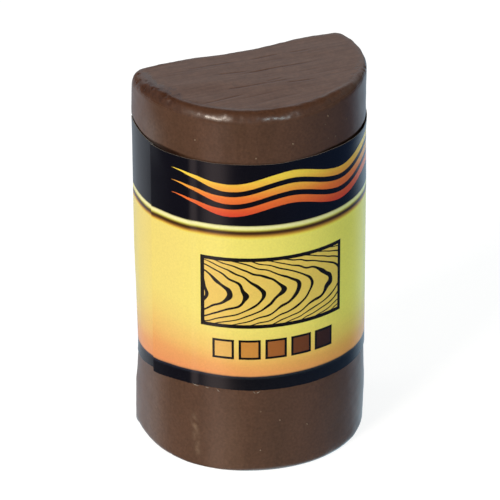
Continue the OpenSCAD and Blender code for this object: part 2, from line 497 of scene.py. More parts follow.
def printed_film(ink, length):
    """Printed paper under clear gloss film: even ink with a fine print grain and a soft shine.

    The print's places are millimetres along the sheet from its free end and up from its foot. Its motifs
    come round once more on the flat back.
    """
    material = bpy.data.materials.new("printed paper, gloss film")
    tree = new_tree(material)
    at = add(tree, "UVMap", uv_map="print")
    scale = (length / MM, LABEL_H / MM, 0)
    flat = add(tree, "VectorMath", {0: at, 1: scale}, operation="MULTIPLY")
    reach = (ink.motif_pitch / MM, FAR_UP, 1)
    spot = add(tree, "VectorMath", {0: flat, 1: reach, 2: (0, -FAR_UP, -1)}, operation="WRAP")
    x_share, up = add(tree, "SeparateXYZ", {0: at}, out=None).outputs[:2]
    top_of_panel = LABEL_H - ink.header - ink.line - ink.shade
    # The glow climbs higher near the lap: there the panel's heights sag in the middle
    aside = add(tree, "Math", {0: x_share, 1: 0.5}, operation="PINGPONG")
    climb = add(tree, "MapRange", {"Value": aside, 1: 0.0, 2: 13 * MM / length, 3: 0.32, 4: 0.0})
    panel_share = add(tree, "MapRange", {"Value": up, 1: ink.footer / LABEL_H, 2: top_of_panel / LABEL_H})
    rest = add(tree, "Math", {0: 1.0, 1: panel_share}, operation="SUBTRACT")
    hump = add(tree, "Math", {0: rest, 1: panel_share}, operation="MULTIPLY")
    sag = add(tree, "Math", {0: hump, 1: climb}, operation="MULTIPLY")
    level = add(tree, "Math", {0: up, 1: sag}, operation="SUBTRACT")
    under_header = LABEL_H - ink.header
    # Heights and colours: the footer and its sheen, the panel, the brown line and the light line
    stops = [(0, ink.band)]
    for start, tones in (
            (ink.footer, [
                (-0.45, ink.band), (-0.4, "#191b26"), (-0.05, "#262a38"), (0, ink.glow), (1.4, "#e19f61"),
                (3, "#e5bb6c"), (5.5, "#e7cf75"), (8, ink.panel)]),
            (top_of_panel, [
                (-0.6, ink.panel), (-0.38, "#ecd75e"), (-0.16, "#d3a43f"), (0.02, "#a3722b"),
                (0.16, "#68451d"), (0.3, "#3f2710")]),
            (under_header - ink.line, [(-0.14, "#3f2710"), (0, "#846f24"), (0.14, "#cfc955")]),
            (under_header, [(-0.5, "#ebe998"), (-0.2, "#f3f0bb"), (-0.05, "#d6d093"), (0, ink.band)])):
        for up_by, tone in tones:
            tone = linear(tone) if isinstance(tone, str) else tone
            stops.append(((start + up_by * MM) / LABEL_H, tone))
    bands = add(tree, "ValToRGB", {0: level}, stops)
    # The panel turns from warm to a paler, greener yellow round the front: partly the print's own tone,
    # partly painted light that lifts and cools the right side
    turned = add(tree, "MapRange", {"Value": x_share, 1: 4 * MM / length, 2: 30 * MM / length})
    back_again = add(tree, "MapRange", {"Value": x_share, 1: 0.9, 2: 0.7})
    below_line = add(tree, "MapRange", {
        "Value": up, 1: top_of_panel / LABEL_H, 2: (top_of_panel - 0.5 * MM) / LABEL_H, 3: 0.25, 4: 1.0})
    turned = add(tree, "Math", {0: turned, 1: back_again}, operation="MINIMUM")
    turned = add(tree, "Math", {0: turned, 1: below_line}, operation="MULTIPLY")
    lemon_and_painted_light = np.divide(ink.lemon_and_painted_light, ink.panel)
    lemon_and_painted_light = add(tree, "Mix", {MIX_FACTOR: turned, MIX_A: (1, 1, 1), MIX_B: lemon_and_painted_light},
                data_type="RGBA", out=MIX_OUT)
    colour = add(tree, "Mix", {MIX_FACTOR: 1.0, MIX_A: bands, MIX_B: lemon_and_painted_light},
                 data_type="RGBA", blend_type="MULTIPLY", out=MIX_OUT)
    # Header lines, yellow at the top and red at the foot, by their distance from the top edge
    flames = ((7.2, "#d6402a"), (4.6, "#ec7a33"), (1.8, "#f5d64c"))
    flames = [(1 - down * MM / LABEL_H, linear(tone)) for down, tone in flames]
    flame = add(tree, "ValToRGB", {0: up}, flames)
    # What is printed over the bands: lines, the board and the squares
    waves = wavy_lines(tree, flat, ink, length)
    drawn, wood = drawn_board(tree, spot, ink)
    tint = add(tree, "Math", {0: wood, 1: 0.45}, operation="MULTIPLY")
    edge, fill, tones = shade_squares(tree, spot, ink)
    inked = add(tree, "Math", {0: drawn, 1: edge}, operation="MAXIMUM")
    for share, tone in ((waves, flame), (tint, ink.wood), (fill, tones), (inked, ink.ink)):
        colour = add(tree, "Mix", {MIX_FACTOR: share, MIX_A: colour, MIX_B: tone},
                     data_type="RGBA", out=MIX_OUT)
    # Print grain of 0.25 mm, coarser than real halftone dots so that it shows
    place = add(tree, "TexCoord", out="Object")
    dots = add(tree, "TexNoise", {"Vector": place, "Scale": 1 / (0.25 * MM), "Detail": 1.0}, out="Fac")
    grain = add(tree, "MapRange", {"Value": dots, 1: 0.2, 2: 0.8, 3: 0.95, 4: 1.05})
    colour = add(tree, "Mix", {MIX_FACTOR: 1.0, MIX_A: colour, MIX_B: grain},
                 data_type="RGBA", blend_type="MULTIPLY", out=MIX_OUT)
    shader = add(tree, "BsdfPrincipled", {
        "Base Color": colour, "Roughness": 0.25, "IOR": 1.5, "Specular IOR Level": 0.5})
    add(tree, "OutputMaterial", {"Surface": shader}, out=None)
    return material


def plain_material(name, hex_colour, hex_other, grain, roughness, shine):
    """A dielectric whose colour wanders between two close tones over a grain size."""
    material = bpy.data.materials.new(name)
    tree = new_tree(material)
    place = add(tree, "TexCoord", out="Object")
    noise = add(tree, "TexNoise", {"Vector": place, "Scale": 1 / grain, "Detail": 2.0}, out="Fac")
    colour = add(tree, "Mix", {MIX_FACTOR: noise, MIX_A: linear(hex_colour), MIX_B: linear(hex_other)},
                 data_type="RGBA", out=MIX_OUT)
    shader = add(tree, "BsdfPrincipled", {
        "Base Color": colour, "Roughness": roughness, "Specular IOR Level": shine})
    add(tree, "OutputMaterial", {"Surface": shader}, out=None)
    return material


# Wax

# Points round the wax, and rings of them across the top, round its edge, down the wall from level to level,
# round the base edge and across the base
WAX_COLUMNS = 440
TOP_ROWS, RIM_ROWS, WALL_ROWS, FOOT_ROWS, BASE_ROWS = 64, 18, (20, 26, 3, 8, 34, 8), 9, 7

# Half width of the drag lines on the top, in millimetres, and how many finer ones lie between them
DRAG_WIDTH, FINE_LINES = 0.13, 22
# Drag lines that stand out, each from one point to another, in millimetres of the plan
DRAG_LINES = [
    ((-10.4, -3.3), (-3.5, -2.9)),
    ((-5.9, -0.9), (4.0, -1.6)),
    ((-0.5, -0.9), (2.4, -0.6)),
    ((1.6, -2.3), (6.0, -2.6)),
    ((-2.4, 2.5), (8.6, 2.3)),
    ((-5.4, 3.5), (-0.9, 2.9)),
    ((-8.3, 6.4), (-0.8, 6.2)),
    ((0.4, 5.9), (4.7, 6.1)),
    ((5.7, 6.0), (9.0, 5.8)),
]

# Size of the top edge and radius of the worn base edge, by direction, in degrees and millimetres
TOP_EDGE = [
    (90, 0.4), (100, 0.6), (140, 1.0), (166, 1.4), (225, 1.5), (285, 1.4), (305, 1.1), (325, 0.75),
    (340, 0.4), (372, 0.3), (450, 0.4)]
BASE_EDGE = [
    (90, 0.4), (140, 1.3), (166, 1.9), (178, 1.9), (188, 1.5), (197, 1.1), (215, 0.5), (280, 0.5),
    (300, 0.4), (312, 0.45), (322, 0.7), (338, 0.9), (360, 0.9), (372, 0.5), (450, 0.4)]

# The wall's left corner draws in towards the label's foot: heights and how far, in millimetres
LEFT_INSET = [
    (0, -0.06), (7.2, -0.03), (8, 0.07), (11, 0.32), (12.4, 0.46), (13.3, 0.46), (16, 0.39),
    (20, 0.28), (22, 0.23), (24, 0.13), (27, 0.05), (43, 0), (46.5, -0.06), (49, -0.03), (51, -0.05)]

# Waves of the top's back edge: where along it, how broad and how far out, in millimetres
BACK_WAVES = [(9.8, 3.2, 0.6), (1.5, 5, -0.42), (-6, 2.5, 0.3)]

# The top's left corner: where it is, how far it is worn down and its radius, in millimetres
LEFT_CORNER = (-14.2, 9)
WORN_BY = 0.2
TOP_CORNER = 1.5

# How far the top's front edge hangs below the rest of the top, by direction, in degrees and millimetres
FRONT_DROP = [
    (90, 0), (190, 0), (206, 0.2), (220, 0.34), (242, 0.4), (256, 0.34), (270, 0.25), (285, 0.12),
    (300, 0), (450, 0)]

# Groove in the wax along the label's top edge, by direction: its depth and its height above that edge
GROOVE_DEPTH = [
    (90, 0.03), (150, 0.06), (166, 0.1), (185, 0.14), (195, 0.18), (205, 0.17), (212, 0.1),
    (222, 0.07), (275, 0.06), (290, 0.14), (310, 0.2), (336, 0.16), (352, 0.06), (372, 0.03),
    (450, 0.03)]
GROOVE_RISE = [
    (90, 0.05), (150, 0.1), (176, 0.18), (186, 0.15), (193, 0.2), (199, 0.32), (205, 0.34),
    (210, 0.28), (215, 0.2), (222, 0.14), (275, 0.1), (290, 0.2), (320, 0.26), (336, 0.22), (352, 0.1),
    (372, 0.05), (450, 0.05)]

# Where the top edge is chipped: direction and width in degrees, and share
CHIPPED = [(186, 24, 1.0), (330, 14, 0.8)]

# Pale smear low on the wall: direction in degrees and height in millimetres of both ends
SMEAR = ((217.9, 7.5), (220.2, 2.0))


def by_table(values, table):
    """Values looked up between the rows of a table, with its lengths turned from millimetres to metres."""
    places, lengths = np.array(table).T
    return np.interp(values, places, lengths * MM)


def wall_sag(facing, z):
    """How far the wall departs from the straight: in at the left corner, out a little low on the right."""
    inset = by_table(z / MM, LEFT_INSET) * smooth(facing, 95, 140) * bell(np.maximum(facing, 160), 160, 14)
    swell = 0.2 * MM * bell(facing, 340, 25) * bell(z, 5.8 * MM, 3.2 * MM)
    return swell - inset


def rim_profile(tilts):
    """How far in and how far down the rounded top edge is where it faces these heights above the horizon.

    Both are for a rim of size 1. It bends quickly at the top, slowly where it faces about 30 degrees up and
    quickly again below: its radius of curvature is 0.68 + 1.25 * bell(tilt).
    """
    steps = np.radians(np.linspace(90, 0, 451))
    radius = 0.68 + 1.25 * bell(np.degrees(steps), 31, 12)
    step = steps[0] - steps[1]
    out = np.cumsum(radius * np.sin(steps)) * step
    down = np.cumsum(radius * np.cos(steps)) * step
    places, turned = math.pi / 2 - np.asarray(tilts), math.pi / 2 - steps
    return np.interp(places, turned, out[-1] - out), np.interp(places, turned, down)


def wax_rings(plan, columns):
    """Rings of points, their outward normals, directions and share of cut face, from the top's middle down.

    The top and base are the outline drawn in by the edge's size and shrunk towards a middle point. The top
    edge follows rim_profile and the base edge an arc, in sizes that change along the outline, and the wall
    runs straight between them. Near the top the outline is a little ragged: the back edge waves, and the
    left corner is worn round.
    """
    along = np.arange(columns) / columns * plan.total
    edge, out = plan.at(along)
    facing = plan.facing(along)
    x = edge[:, 0]
    on_back = smooth(out[:, 1], 0.7, 1)
    ragged = on_back * sum(high * bell(x, at * MM, width * MM) for at, width, high in BACK_WAVES)
    # The left corner is rounder at the top than down the wall
    worn = Outline(TOP_CORNER * MM)
    worn_edge = worn.at(np.interp(along, plan.lengths, worn.lengths))[0]
    on_left = smooth(x, -2 * MM, -8 * MM)
    top_edge = edge + (worn_edge - edge) * on_left[:, None] + out * (ragged * MM)[:, None]
    middle = np.array([0, AXIS_Y - 0.3 * BAR_R])
    top_r = by_table(facing, TOP_EDGE)
    # Small scallops broken out of the base edge on the left of the front
    foot_line = np.concatenate([edge, np.zeros((columns, 1))], -1)
    nicks = 0.12 * MM * smooth(lumps(foot_line, 1.1 * MM, 21), 0.3, 1.2) * bell(facing, 212, 16)
    # The foot's wear runs on a little way along the back from the left corner
    base_r = by_table(facing, BASE_EDGE) + nicks + 0.8 * MM * on_back * smooth(x, -5 * MM, -14 * MM)
    under = -math.pi / 2

    def drawn_in(line, inset, corner):
        # Square to the outline as far as the left corner's radius lets it, and from there to the middle
        reach = 0.9 * corner + BAR_R * smooth(facing, 165, 200)
        square = np.minimum(inset, reach)
        inwards = middle - line
        inwards = inwards / np.linalg.norm(inwards, axis=-1, keepdims=True)
        return line - out * square[..., None] + inwards * (inset - square)[..., None]

    def flat(rows, rim_line, height, tilt, outwards):
        # Even steps from the middle to a line, or back
        shares = np.linspace(0, 1, rows + 1)[1:]
        shares = shares if outwards else shares[::-1]
        xy = middle + (rim_line - middle) * shares[:, None, None]
        return xy, np.full((rows, columns), height), np.full((rows, columns), tilt)

    def rim(rows):
        # Round the top edge, from facing up to facing out
        turn = np.linspace(math.pi / 2, 0, rows + 1)[1:]
        inset, down = (share[:, None] * top_r for share in rim_profile(turn))
        xy = drawn_in(top_edge, inset, TOP_CORNER * MM)
        return xy, BAR_H - down, np.broadcast_to(turn[:, None], inset.shape)

    def foot(rows):
        # Round the base edge, from facing out to facing down
        turn = np.linspace(0, under, rows + 1)[1:, None]
        inset = base_r * (1 - np.cos(turn))
        xy = drawn_in(edge, inset, plan.corner)
        return xy, base_r + base_r * np.sin(turn), np.broadcast_to(turn, inset.shape)

    def wall(rows, start, end):
        # From one height to another, as ragged as the top edge only near the top
        shares = (np.arange(rows) + 0.5)[:, None] / rows
        z = np.broadcast_to(start + (end - start) * shares, (rows, columns))
        ragged_share = smooth(z, BAR_H - 3.5 * MM, BAR_H - 0.3 * MM)
        xy = edge + (top_edge - edge) * ragged_share[..., None]
        return xy, z, np.zeros((rows, columns))

    rim_in, rim_down = rim_profile([math.pi / 2, 0])
    label_top = LABEL_LOW + LABEL_H
    tuck = 1.5 * MM
    levels = [
        BAR_H - top_r * rim_down[1], label_top + 1.4 * MM, label_top - 0.3 * MM, label_top - tuck,
        LABEL_LOW + tuck, base_r + 1 * MM, base_r]
    parts = [
        flat(TOP_ROWS, drawn_in(top_edge, top_r * rim_in[0], TOP_CORNER * MM), BAR_H, math.pi / 2, True),
        rim(RIM_ROWS),
        *(wall(*each) for each in zip(WALL_ROWS, levels, levels[1:])),
        foot(FOOT_ROWS),
        flat(BASE_ROWS, drawn_in(edge, base_r, plan.corner), 0, under, False),
    ]
    xy, z, tilt = (np.concatenate(part) for part in zip(*parts))
    # The front edge of the top hangs low, and its left corner is worn down
    shares = np.linspace(0, 1, TOP_ROWS + 1)[1:]
    hang = smooth(z, BAR_H - 5 * MM, BAR_H - 1 * MM)
    hang[:TOP_ROWS] = smooth(shares, 0.0, 1.3)[:, None] / smooth(1.0, 0.0, 1.3)
    z = z - by_table(facing, FRONT_DROP) * hang
    from_corner = np.linalg.norm(xy - np.array(LEFT_CORNER) * MM, axis=-1)
    z = z - WORN_BY * MM * bell(from_corner, 0, 2.4 * MM) * smooth(z, BAR_H - 4 * MM, BAR_H - 0.5 * MM)
    points = np.concatenate([xy, z[..., None]], -1)
    lean = np.cos(tilt)[..., None]
    normals = np.concatenate([out * lean, np.sin(tilt)[..., None]], -1)
    # The cut face ends in a ragged line just inside the rim
    cut = np.zeros(z.shape)
    ragged = 0.03 * lumps(points[:TOP_ROWS], 1.3 * MM, 26) + 0.02 * lumps(points[:TOP_ROWS], 0.6 * MM, 27)
    ragged = ragged * (bell(facing, 190, 30) + bell(facing, 330, 25)) + 0.03 * bell(facing, 185, 30)
    cut[:TOP_ROWS] = smooth(shares[:, None] + ragged, 1, 0.94)
    return points, normals, np.broadcast_to(facing, z.shape), cut


def scored(points, start, end, width):
    """Share of a drag line at each point: a bell across the line that fades at both of its ends."""
    start, end = np.array(start), np.array(end)
    step = end - start
    share = ((points[..., :2] - start) @ step) / (step @ step)
    across = points[..., :2] - start - np.clip(share, 0, 1)[..., None] * step
    fade = smooth(share, -0.05, 0.2) * smooth(share, 1.05, 0.7)
    return bell(np.linalg.norm(across, axis=-1), 0, width) * fade


class WAXSTICK_OT_wax(bpy.types.Operator):
    """Builds the bar of wax"""

    bl_idname = "waxstick.wax"
    bl_label = "Wax"

    def execute(self, context):
        wax = context.scene.wax_stick_wax
        plan = Outline(wax.corner)
        points, normals, facing, cut = wax_rings(plan, WAX_COLUMNS)
        z = points[..., 2]
        skin = 1 - cut
        rng = np.random.default_rng(14)
        # Blade lines: those that stand out, then finer ones strewn between them
        lines = [(np.array(a) * MM, np.array(b) * MM, DRAG_WIDTH * MM, 1.0) for a, b in DRAG_LINES]
        for _ in range(FINE_LINES):
            start = np.array([rng.uniform(-14, 8), rng.uniform(-7, 9)])
            end = start + [rng.uniform(3, 8), rng.uniform(-0.4, 0.3)]
            lines.append((start * MM, end * MM, rng.uniform(0.1, 0.16) * MM, rng.uniform(0.15, 0.5)))
        fresh, relief = np.zeros(cut.shape), np.zeros(cut.shape)
        for start, end, width, depth in lines:
            mark = scored(points, start, end, width) * depth * cut
            relief -= wax.drag_depth * mark
            fresh = np.maximum(fresh, mark)
        # Where the label lies, and where the wax is bare, upright, on the edge, and on the rim band that is
        # rubbed smoother and painted darker
        tilt = np.arcsin(np.clip(normals[..., 2], -1, 1))
        label_top = LABEL_LOW + LABEL_H + by_table(facing, ASKEW[-1])
        covered = smooth(z, LABEL_LOW + 0.1 * MM, LABEL_LOW + 0.4 * MM)
        covered = covered * smooth(z, label_top - 0.1 * MM, label_top - 0.4 * MM)
        bare = skin * (1 - covered) * smooth(tilt, -1.2, -0.6)
        upright = skin * np.cos(tilt) ** 2
        on_edge = np.sin(2 * np.clip(tilt, 0, math.pi / 2)) * skin * (1 - 0.7 * bell(facing, 214, 7))
        rubbed_and_shaded = smooth(tilt, 0.05, 0.6) * skin
        # Broad waves of the wall, of the top (closer from front to back) and lumps on the top edge
        for height, size, seed, closer, where in (
                (wax.wall_waves, 9, 3, 1, bare), (0.25 * wax.wall_waves, 2, 4, 1, bare),
                (0.8 * wax.wall_waves, 8, 5, 2, cut),
                (wax.rim_lumps, 1.5, 6, 1, on_edge), (0.2 * wax.rim_lumps, 0.6, 7, 1, on_edge)):
            relief += height * lumps(points * [1, closer, 1], size * MM, seed) * where
        # Chips in the top edge, most on the left and some on the right
        chipped = sum(share * bell(facing, at, width) for at, width, share in CHIPPED)
        broken = 0.7 * lumps(points, 1.1 * MM, 8) + 0.5 * lumps(points, 0.5 * MM, 18)
        chips = smooth(broken, 0.0, 1.1) * on_edge * chipped
        relief -= wax.chip_depth * chips
        # Fresh wax in the chips, and painted shade over the rim band
        fresh = np.maximum(fresh, np.clip(0.4 * chips + (0.55 + 0.45 * chipped) * rubbed_and_shaded, 0, 1))
        # Departures of the wall, the seat of the label and the groove along its top edge
        relief += wall_sag(facing, z) * upright - wax.seat * covered * skin
        groove_top = label_top + by_table(facing, GROOVE_RISE)
        groove_depth = by_table(facing, GROOVE_DEPTH)
        groove = smooth(z, groove_top + 0.22 * MM, groove_top - 0.22 * MM)
        groove = groove * smooth(z, label_top - 1.2 * MM, label_top - 0.6 * MM)
        relief -= groove_depth * groove * upright
        # Painted shade in that groove and on the left of the rim, and a painted grey sheen on the left
        # flank
        left_rim_shade = np.clip(0.6 + 0.5 * broken, 0, 1) * bell(facing, 186, 22) * rubbed_and_shaded
        grime = np.maximum(groove * smooth(groove_depth, 0.03 * MM, 0.14 * MM), 0.5 * left_rim_shade)
        # Painted sheen on the left flank, in place of its grazing reflection
        haze = 0.1 * bell(facing, 192, 9) * upright * (1 - covered)
        haze = haze * smooth(z, BAR_H - 1.8 * MM, BAR_H - 6 * MM)
        # Smear of soft wax low on the wall
        (turn_a, high), (turn_b, low) = SMEAR
        share = (high * MM - z) / ((high - low) * MM)
        aside = np.radians(facing - turn_a - (turn_b - turn_a) * share) * BAR_R
        smear = bell(aside, 0, 0.4 * MM) * smooth(share, -0.15, 0.1) * smooth(share, 1.15, 0.8) * upright
        smear = smear * np.clip(0.55 + 0.7 * lumps(points, 0.8 * MM, 9), 0, 1)
        relief += 0.03 * MM * smear
        points = points + normals * relief[..., None]
        solid, faces = closed_surface(points)
        piece = add_piece("wax_bar", solid, faces, [filler_wax(wax)], "filler_wax", "wax_stick")
        # The points at the middle of the top and of the base bear no marks
        for name, values in zip(WAX_MASKS, (cut, fresh, grime, smear, haze)):
            store(piece, name, np.append(np.clip(values, 0, 1), [name == "cut_face", 0]))
        return {"FINISHED"}


# Crumbs and fibres

# Pale crumbs on the wax: direction in degrees, height and width in millimetres
CRUMBS = [
    (220.2, 46.75, 0.2), (268.1, 46.4, 0.24), (250.0, 44.9, 0.2), (287.8, 48.97, 0.22),
    (301.5, 47.3, 0.16), (288.0, 45.9, 0.14), (292.9, 45.75, 0.16), (286.0, 47.95, 0.14),
    (193.4, 6.33, 0.26), (276.3, 5.99, 0.22), (261.8, 7.4, 0.2), (243.0, 7.9, 0.16), (252.0, 3.2, 0.2)]

# Paper fibres under the label's foot: direction and height of both ends, and how far the middle bows out
FIBRES = [
    (217.6, 12.2, 221.6, 12.0, 0.1), (230.6, 12.05, 232.1, 11.7, 0.1),
    (248.4, 12.0, 249.7, 11.65, 0.1), (225.0, 12.1, 226.6, 12.0, 0.08),
    (250.2, 11.7, 251.8, 11.95, 0.08)]


def on_wall(turn, z, off):
    """Points off the round wall, from directions in degrees and heights and stand-offs in metres."""
    radius = BAR_R + off
    turn = np.radians(turn)
    return np.stack(np.broadcast_arrays(radius * np.cos(turn), radius * np.sin(turn) + AXIS_Y, z), -1)


def crumb(turn, height, width, rng):
    """A flat lump on the wall: rings round the outward normal of a squashed ball with a ragged rim."""
    lift = np.radians(np.linspace(75, -75, 7))[:, None]
    round_about = np.linspace(0, 2 * math.pi, 12, endpoint=False)[None]
    ragged = 1 + 0.25 * np.cos(2 * round_about + rng.uniform(0, 6)) + 0.12 * np.cos(3 * round_about)
    reach = width * MM / 2 * np.cos(lift) * ragged
    aside = reach * np.cos(round_about)
    up = reach * np.sin(round_about)
    out = 0.35 * width * MM / 2 * np.sin(lift) * np.ones_like(ragged)
    return closed_surface(on_wall(turn + np.degrees(aside / BAR_R), height * MM + up, out + 0.02 * MM))


def fibre(turn_a, high, turn_b, low, bow):
    """A fine tube along a bowed line on the wall, thinner towards both ends."""
    share = np.linspace(0, 1, 15)[:, None]
    round_about = np.linspace(0, 2 * math.pi, 8, endpoint=False)[None]
    radius = 0.035 * MM * (0.35 + 0.65 * np.sin(math.pi * share))
    turn = turn_a + (turn_b - turn_a) * share
    z = (high + (low - high) * share) * MM + radius * np.cos(round_about)
    off = (0.1 + bow * np.sin(math.pi * share)) * MM + radius * np.sin(round_about)
    return closed_surface(on_wall(turn, z, off))


class WAXSTICK_OT_crumbs(bpy.types.Operator):
    """Strews crumbs of wax on the wall and fibres of paper along the label's foot"""

    bl_idname = "waxstick.crumbs"
    bl_label = "Crumbs and fibres"

    def execute(self, context):
        rng = np.random.default_rng(31)
        points, faces = joined([crumb(*each, rng) for each in CRUMBS])
        pale = plain_material("filler wax, dry crumbs", "#8f7c68", "#786553", 0.2 * MM, 0.7, 0.3)
        add_piece("wax_crumbs", points, faces, [pale], "filler_wax")
        points, faces = joined([fibre(*each) for each in FIBRES])
        frayed = plain_material("paper fibre, frayed", "#b3aa9d", "#978d80", 0.3 * MM, 0.9, 0.2)
        add_piece("paper_fibres", points, faces, [frayed], "printed_paper")
        return {"FINISHED"}


# Label

# Points along the label and up it
LABEL_COLUMNS, LABEL_ROWS = 480, 60

# The label was wrapped a little askew. How far its foot, the top of its footer, its middle, the line under
# its header and its top edge stand above their own heights, in directions round the stick, in degrees and
# millimetres. At 193 degrees each steps from the end that goes under the lap to the lap's free end.
ASKEW = [
    [(90, 0), (140, -0.3), (170, -0.45), (180, -0.4), (190, -0.1), (192.9, -0.05), (193, -0.37),
     (197, -0.37), (204, -0.13), (212, 0.05), (230, 0.05), (247, -0.06), (270, -0.05), (277, -0.08),
     (290, -0.12), (297, -0.17), (310, -0.23), (322, -0.3), (372, -0.15), (390, 0)],
    [(90, 0), (140, -0.25), (170, -0.37), (185, -0.41), (192.9, -0.36), (193, -0.2), (197, -0.2),
     (204, 0), (216, 0.17), (230, 0.1), (247, 0.02), (269, 0.09), (284, 0.07), (296, -0.03),
     (306, -0.13), (310, -0.25), (322, -0.35), (372, -0.15), (390, 0)],
    [(90, 0)],
    [(90, 0), (140, 0.3), (170, 0.38), (182, 0.1), (188, -0.04), (192.9, -0.1), (193, 0), (200, 0.05),
     (215, 0)],
    [(90, 0), (140, 1), (160, 1.3), (166, 1.3), (171, 1.05), (176, 0.85), (186, 0.45), (192.9, 0.29),
     (193, 0.32), (198, 0.28), (203, 0.19), (208, 0.16), (216, 0.13), (222, 0.13), (228, 0.08),
     (240, 0.11), (262, 0.08), (269, 0.2), (282, 0.24), (290, 0.3), (297, 0.23), (302, 0.2),
     (308, 0.15), (314, 0.13), (319, 0.12), (330, 0.3), (345, 0.38), (372, 0.2), (390, 0)],
]


class WAXSTICK_OT_label(bpy.types.Operator):
    """Builds the printed label round the wax"""

    bl_idname = "waxstick.label"
    bl_label = "Label"

    def execute(self, context):
        label = context.scene.wax_stick_label
        plan = Outline(context.scene.wax_stick_wax.corner)
        columns, rows = LABEL_COLUMNS, LABEL_ROWS
        length = plan.total + label.lap
        run = np.linspace(0, length, columns)[:, None]
        up = np.linspace(0, LABEL_H, rows)[None]
        along = plan.length_at(label.lap_angle) + run
        edge, out = plan.at(along)
        facing = plan.facing(along)
        share = up / LABEL_H
        # Askew: each height that the table names moves by its own amount, and what lies between follows
        ink = context.scene.wax_stick_print
        line_share = (LABEL_H - ink.header) / LABEL_H
        knots = [0, ink.footer / LABEL_H, line_share / 2, line_share, 1]
        z = LABEL_LOW + up
        for table, here in zip(ASKEW, np.eye(len(knots))):
            z = z + by_table(facing, table) * np.interp(share, knots, here)
        # The hidden end stays below the lap's edges
        past = run - plan.total
        z = z + 0.6 * MM * smooth(past, 0, 1 * MM) * (1 - 2 * share)
        # The lap lies on the hidden end. Its top edge gapes in two places, and it bulges on the right
        off = label.proud - label.sheet + wall_sag(facing, z)
        off = off + 1.05 * label.sheet * smooth(run, label.lap + 1.5 * MM, label.lap)
        for amount, at, width, start, full in (
                (label.gape, 201, 8, 0.88, 1),
                (label.flare, 318, 20, 0.94, 1),
                (label.bulge, 338, 20, 0.9, 0.7)):
            off = off + amount * bell(facing, at, width) * smooth(share, start, full)
        off = off + label.lift * np.clip(1 - run / (2.5 * MM), 0, 1) ** 2
        # The sheet is pressed thinner along its cut edges
        from_edge = np.minimum(up, LABEL_H - up)
        thick = label.sheet * (0.45 + 0.55 * smooth(from_edge, 0, 0.6 * MM))

        def face(stand_off):
            # One side of the sheet, this far out from the bare wall
            stand_off = np.broadcast_to(stand_off, (columns, rows))
            xy = edge + out * stand_off[..., None]
            return np.concatenate([xy, z[..., None]], -1)

        # Rings round the sheet's section, from the free end to the hidden one, and a cap on each end
        outer, inner = face(off + label.sheet), face(off + label.sheet - thick)
        loop = np.concatenate([outer, inner[:, ::-1]], 1)
        count = loop.shape[1]
        faces = ring_faces(columns, count)
        here = np.arange(rows - 1)
        cap = np.stack([here, here + 1, count - 2 - here, count - 1 - here], -1)
        far = cap[:, ::-1] + (columns - 1) * count
        # Materials by place round the section: the face, the two cut edges and the inside
        kind = np.tile(np.arange(count), columns - 1)
        index = np.where(kind < rows - 1, 0, np.where((kind == rows - 1) | (kind == count - 1), 1, 2))
        index = np.concatenate([index, np.zeros(len(cap), int), np.ones(len(cap), int)])
        materials = [
            printed_film(ink, length),
            plain_material("paper, cut edge", "#8d857c", "#6f675f", 0.3 * MM, 0.8, 0.2),
            plain_material("acrylic adhesive, tacky", "#d9d2b8", "#c9c09f", 0.5 * MM, 0.35, 0.5),
        ]
        faces = np.concatenate([faces, cap, far]).tolist()
        piece = add_piece("label_wrap", loop.reshape(-1, 3), faces, materials, "printed_paper",
                          "label_paper", "label_film", "label_adhesive")
        mesh = piece.data
        mesh.polygons.foreach_set("material_index", index)
        mesh.set_sharp_from_angle(angle=math.radians(40))
        # Places in the print: shares of the sheet's length and height
        share_up = np.concatenate([up, up[:, ::-1]], 1) / LABEL_H
        spots = np.stack(np.broadcast_arrays(run / length, share_up), -1).reshape(-1, 2)
        corners = np.zeros(len(mesh.loops), int)
        mesh.loops.foreach_get("vertex_index", corners)
        mesh.uv_layers.new(name="print").data.foreach_set("uv", spots[corners].ravel())
        return {"FINISHED"}


# Stage

# Lamps: direction and height in degrees, distance, width and height in metres, and colour
LAMPS = {
    "key": (-61, 33, 0.7, 0.2, 0.12, "#fff4e6"),
    "left": (-95, 20, 0.7, 1.0, 1.0, "#fcf5ec"),
    "right": (105, 12, 0.7, 0.6, 0.6, "#ecfbf8"),
    "front": (3, 31, 0.8, 0.1, 0.1, "#dcf2f6"),
}
# Lamps that light the stick but aren't mirrored in it
UNSEEN = ("left", "right")

# Half width of the floor, in metres
FLOOR_REACH = 3.0
# What the eye sees of the floor: how much of the light on it, and how much white of its own
SEEN_TONE, SEEN_WHITE = (0.35, 0.35, 0.35), 0.82
# Distances from the middle over which the card gives way to the floor and its glow fades, in millimetres
CARD_EDGE = (50, 90)
GLOW_EDGE, GLOW = (35, 22), 0.15
# Distances from the round's axis of the pale line along its foot and of the dark under it, in millimetres
LINE_EDGE = (15.8, 15.2)
DARK_EDGE = (14.65, 14.8)
# Mirrored tones of the card: plain, in a stripe towards the key lamp, on the right, and in the pale line
CARD_TONE, STRIPE_TONE, RIGHT_TONE, LINE_TONE = (1, 1, 0.95), (5, 4, 3), (0.9, 1.3, 1.35), (10, 14, 16)

# Tones of the room from the horizon up to the ceiling
ROOM = [
    (0, (0.2, 0.2, 0.2)), (0.14, (0.3, 0.3, 0.3)), (0.28, (0.95, 0.97, 1)), (0.6, (0.88, 0.92, 1)),
    (0.8, (0.15, 0.15, 0.16)), (1, (0.06, 0.06, 0.06))]
# Mirrored tones of the floor on the left and on the right, in front and behind, and of the key lamp's image
FRONT_FLOOR = ((0.05, 0.05, 0.05), (0.04, 0.08, 0.18))
REAR_FLOOR = ((0.53, 0.575, 0.635), (0.52, 0.68, 0.83))
KEY_IMAGE = (1.2, 0.95, 0.9)


